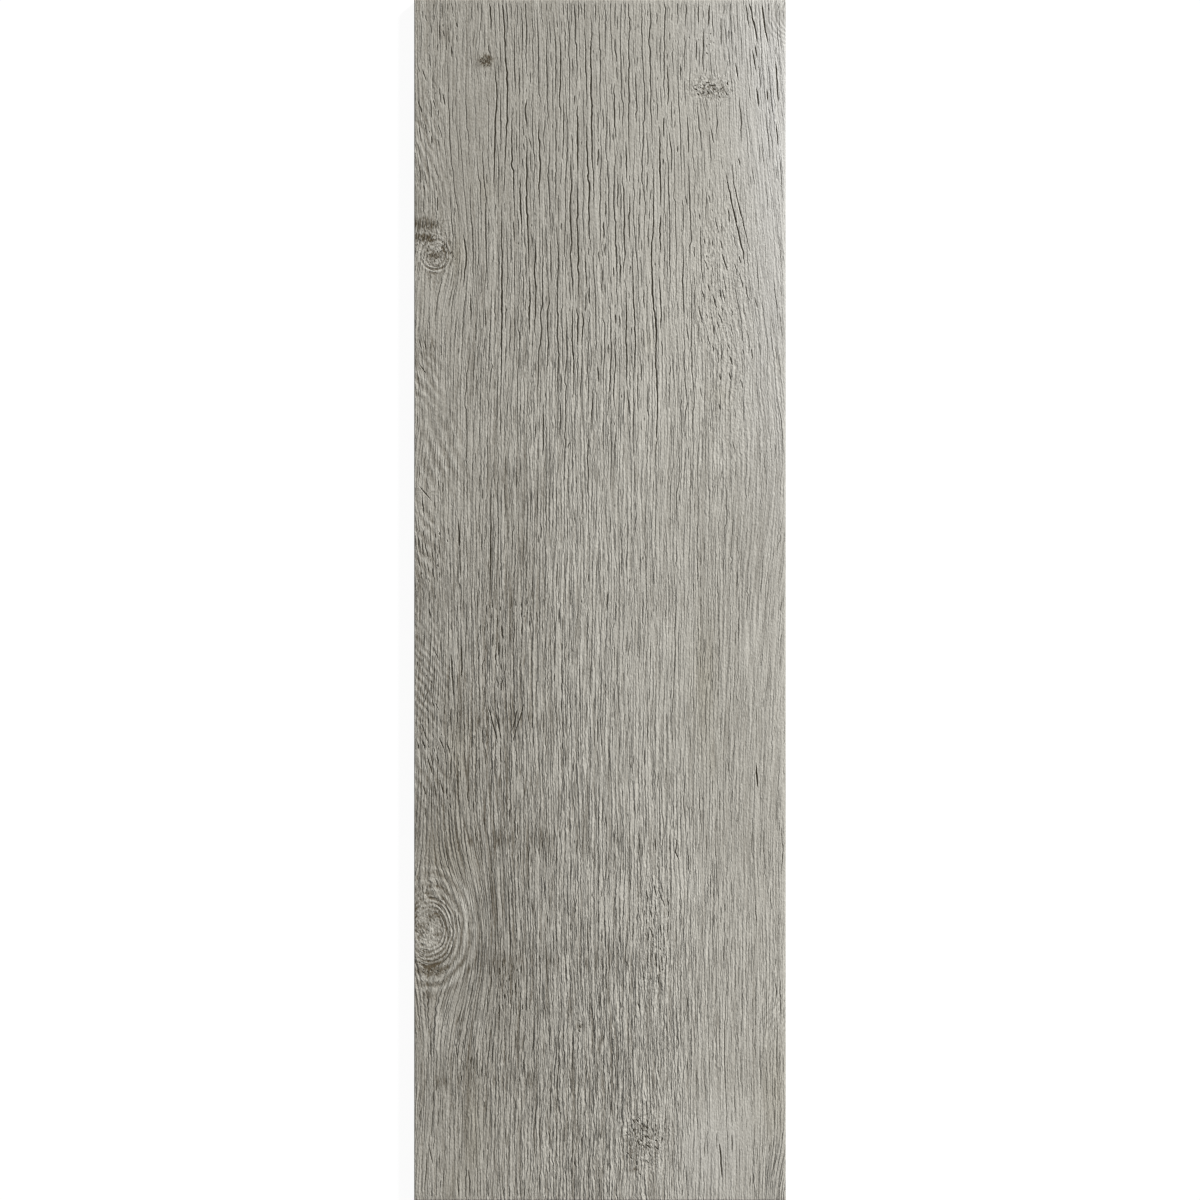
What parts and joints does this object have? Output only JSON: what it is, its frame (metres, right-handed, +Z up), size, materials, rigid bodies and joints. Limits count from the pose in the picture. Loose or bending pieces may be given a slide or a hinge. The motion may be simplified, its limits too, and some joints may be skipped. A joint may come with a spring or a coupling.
{
  "type": "wood look porcelain plank tile",
  "caption": "Pressed porcelain plank tile with a grey weathered oak print and brushed grain relief on its face, soft arrises, and a waffle of shallow adhesive key cells in its back.",
  "frame": {"origin": "middle of the back, on the plane of the key ribs that the tile lies on", "axes": "+X across the plank, +Y along the plank, +Z up out of the printed face"},
  "size_m": [0.185, 0.598, 0.008],
  "materials": {
    "glazed_face": "matte"
  },
  "bodies": {
    "root": {"plank_tile": "glazed_face"}
  },
  "joints": []
}
